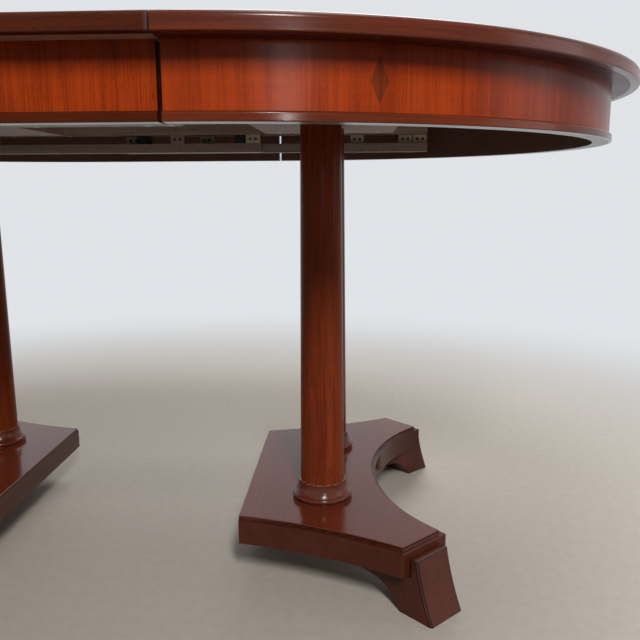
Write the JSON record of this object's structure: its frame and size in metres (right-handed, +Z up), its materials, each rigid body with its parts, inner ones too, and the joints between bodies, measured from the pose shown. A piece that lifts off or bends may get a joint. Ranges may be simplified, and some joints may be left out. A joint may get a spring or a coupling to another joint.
{
  "type": "extending dining table",
  "caption": "Extending pedestal dining table: D-shaped half tops and a loose leaf on wooden slides, over split plinths with turned columns and sabre feet.",
  "frame": {"origin": "on the floor under the middle of the open table", "axes": "+X along the slides to the right half, +Y to the back, +Z up"},
  "size_m": [1.6182, 1.208, 0.765],
  "materials": {
    "cherry_veneer": "satin lacquered cherry veneer",
    "cherry_solid": "satin lacquered solid cherry",
    "dark_inlay": "darker inlaid veneer under the same lacquer",
    "beech_dowel": "raw fluted beech",
    "raw_plate": "raw planed hardwood",
    "raw_rail": "raw grey-brown hardwood",
    "pale_block": "raw pale hardwood",
    "dark_nylon": "matt black nylon",
    "zinc_steel": "zinc plated steel"
  },
  "bodies": {
    "right_half": {"right_apron": "cherry_veneer", "right_apron_bead": "cherry_solid", "right_apron_dowels": "beech_dowel", "right_apron_lozenges": "dark_inlay", "right_back_column": "cherry_solid", "right_back_column_base": "cherry_solid", "right_back_foot": "cherry_solid", "right_back_lower_bar": "raw_rail", "right_back_upper_bar": "raw_rail", "right_column_plate": "raw_plate", "right_foot_bolts": "zinc_steel", "right_front_column": "cherry_solid", "right_front_column_base": "cherry_solid", "right_front_foot": "cherry_solid", "right_front_lower_bar": "raw_rail", "right_front_upper_bar": "raw_rail", "right_guide_shoes": "dark_nylon", "right_plate_screws": "zinc_steel", "right_plinth": "cherry_solid", "right_rail_end_blocks": "pale_block", "right_rail_screws": "zinc_steel", "right_rail_spacers": "raw_rail", "right_tie_nuts": "zinc_steel", "right_tie_rods": "zinc_steel", "right_top_lipping": "cherry_solid", "right_top_panel": "cherry_veneer"},
    "left_half": {"left_apron": "cherry_veneer", "left_apron_bead": "cherry_solid", "left_apron_dowels": "beech_dowel", "left_apron_lozenges": "dark_inlay", "left_back_column": "cherry_solid", "left_back_column_base": "cherry_solid", "left_back_foot": "cherry_solid", "left_back_lower_bar": "raw_rail", "left_back_upper_bar": "raw_rail", "left_column_plate": "raw_plate", "left_foot_bolts": "zinc_steel", "left_front_column": "cherry_solid", "left_front_column_base": "cherry_solid", "left_front_foot": "cherry_solid", "left_front_lower_bar": "raw_rail", "left_front_upper_bar": "raw_rail", "left_guide_shoes": "dark_nylon", "left_plate_screws": "zinc_steel", "left_plinth": "cherry_solid", "left_rail_end_blocks": "pale_block", "left_rail_screws": "zinc_steel", "left_rail_spacers": "raw_rail", "left_tie_nuts": "zinc_steel", "left_tie_rods": "zinc_steel", "left_top_lipping": "cherry_solid", "left_top_panel": "cherry_veneer"},
    "leaf": {"leaf_apron_dowels": "beech_dowel", "leaf_back_apron": "cherry_veneer", "leaf_back_bead": "cherry_solid", "leaf_back_lipping": "cherry_solid", "leaf_front_apron": "cherry_veneer", "leaf_front_bead": "cherry_solid", "leaf_front_lipping": "cherry_solid", "leaf_panel": "cherry_veneer"}
  },
  "joints": [
    {"name": "extension", "type": "slide", "parent": "right_half", "child": "left_half", "axis": [-1, 0, 0], "range_m": [0, 0.19]},
    {"name": "leaf_lift", "type": "slide", "parent": "right_half", "child": "leaf", "axis": [0, 0, 1], "range_m": [0, 0.25]}
  ]
}
